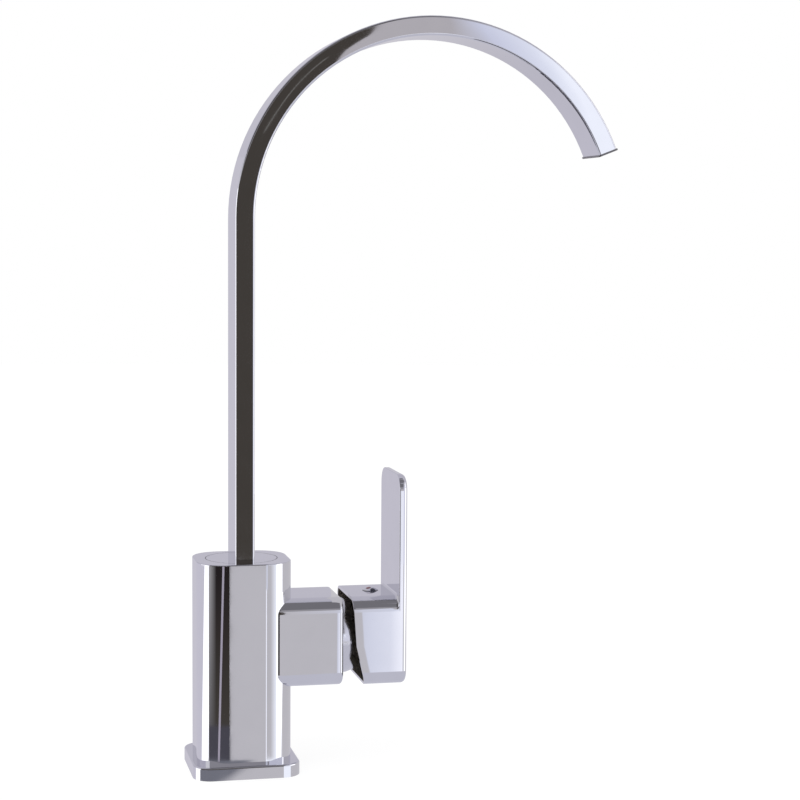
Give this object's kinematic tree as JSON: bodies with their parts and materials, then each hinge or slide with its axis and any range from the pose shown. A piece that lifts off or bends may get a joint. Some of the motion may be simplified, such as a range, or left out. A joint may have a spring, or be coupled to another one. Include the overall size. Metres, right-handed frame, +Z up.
{
  "type": "kitchen tap",
  "caption": "Single-lever kitchen tap for hot, cold and filtered water: square body, tall flat gooseneck spout that swivels, side cartridge with an upright blade lever.",
  "frame": {"origin": "centre of the base's underside, on the worktop, on the spout's swivel axis", "axes": "+Z up along the swivel axis; +X towards the lever side, where the spout's outlet also points at rest; -Y is the front"},
  "size_m": [0.2156, 0.053, 0.374],
  "materials": {
    "chrome": "polished chrome plate on brass",
    "brass": "machined",
    "steel": "turned stainless steel",
    "white_plastic": "moulded acetal",
    "grey_plastic": "moulded nylon",
    "food_tube": "extruded polyethylene",
    "index_plug": "moulded, glossy",
    "ceramic": "lapped alumina",
    "rubber": "matt"
  },
  "bodies": {
    "mixer": {"base_plate": "chrome", "base_seal": "rubber", "body": "chrome", "cartridge_housing": "chrome", "cartridge_base": "white_plastic", "port_seals": "rubber", "fixed_disc": "ceramic", "cartridge_body": "white_plastic", "cartridge_nut": "brass", "cartridge_dome": "chrome", "slide_ring": "white_plastic", "spout_screw": "steel"},
    "spout": {"spout_tube": "chrome", "spout_collar": "chrome", "swivel_nipple": "brass", "swivel_o_rings": "rubber", "centre_o_ring": "rubber", "filtered_water_tube": "food_tube", "outlet_insert": "grey_plastic", "filtered_nozzle": "white_plastic", "outlet_rim": "chrome"},
    "carrier": {"cartridge_rotor": "grey_plastic", "pivot_pin": "steel"},
    "lever": {"spindle": "steel", "lever_handle": "chrome", "lever_screw": "steel", "index_plug": "index_plug"},
    "disc": {"moving_disc": "ceramic", "disc_driver": "grey_plastic"}
  },
  "joints": [
    {"name": "spout_swivel", "type": "hinge", "parent": "mixer", "child": "spout", "pos_m": [0, 0, 0.09], "axis": [0, 0, 1], "continuous": true},
    {"name": "temperature_turn", "type": "hinge", "parent": "mixer", "child": "carrier", "pos_m": [0.0475, 0, 0.0649], "axis": [1, 0, 0], "range_deg": [-45, 45]},
    {"name": "lever_tilt", "type": "hinge", "parent": "carrier", "child": "lever", "pos_m": [0.0475, 0, 0.0649], "axis": [0, 1, 0], "range_deg": [0, 25]},
    {"name": "disc_slide", "type": "slide", "parent": "carrier", "child": "disc", "axis": [0, 0, 1], "range_m": [0, 0.00487]}
  ],
  "couplings": [
    {"joint": "disc_slide", "follows": "lever_tilt", "m_per_rad": 0.01114}
  ]
}
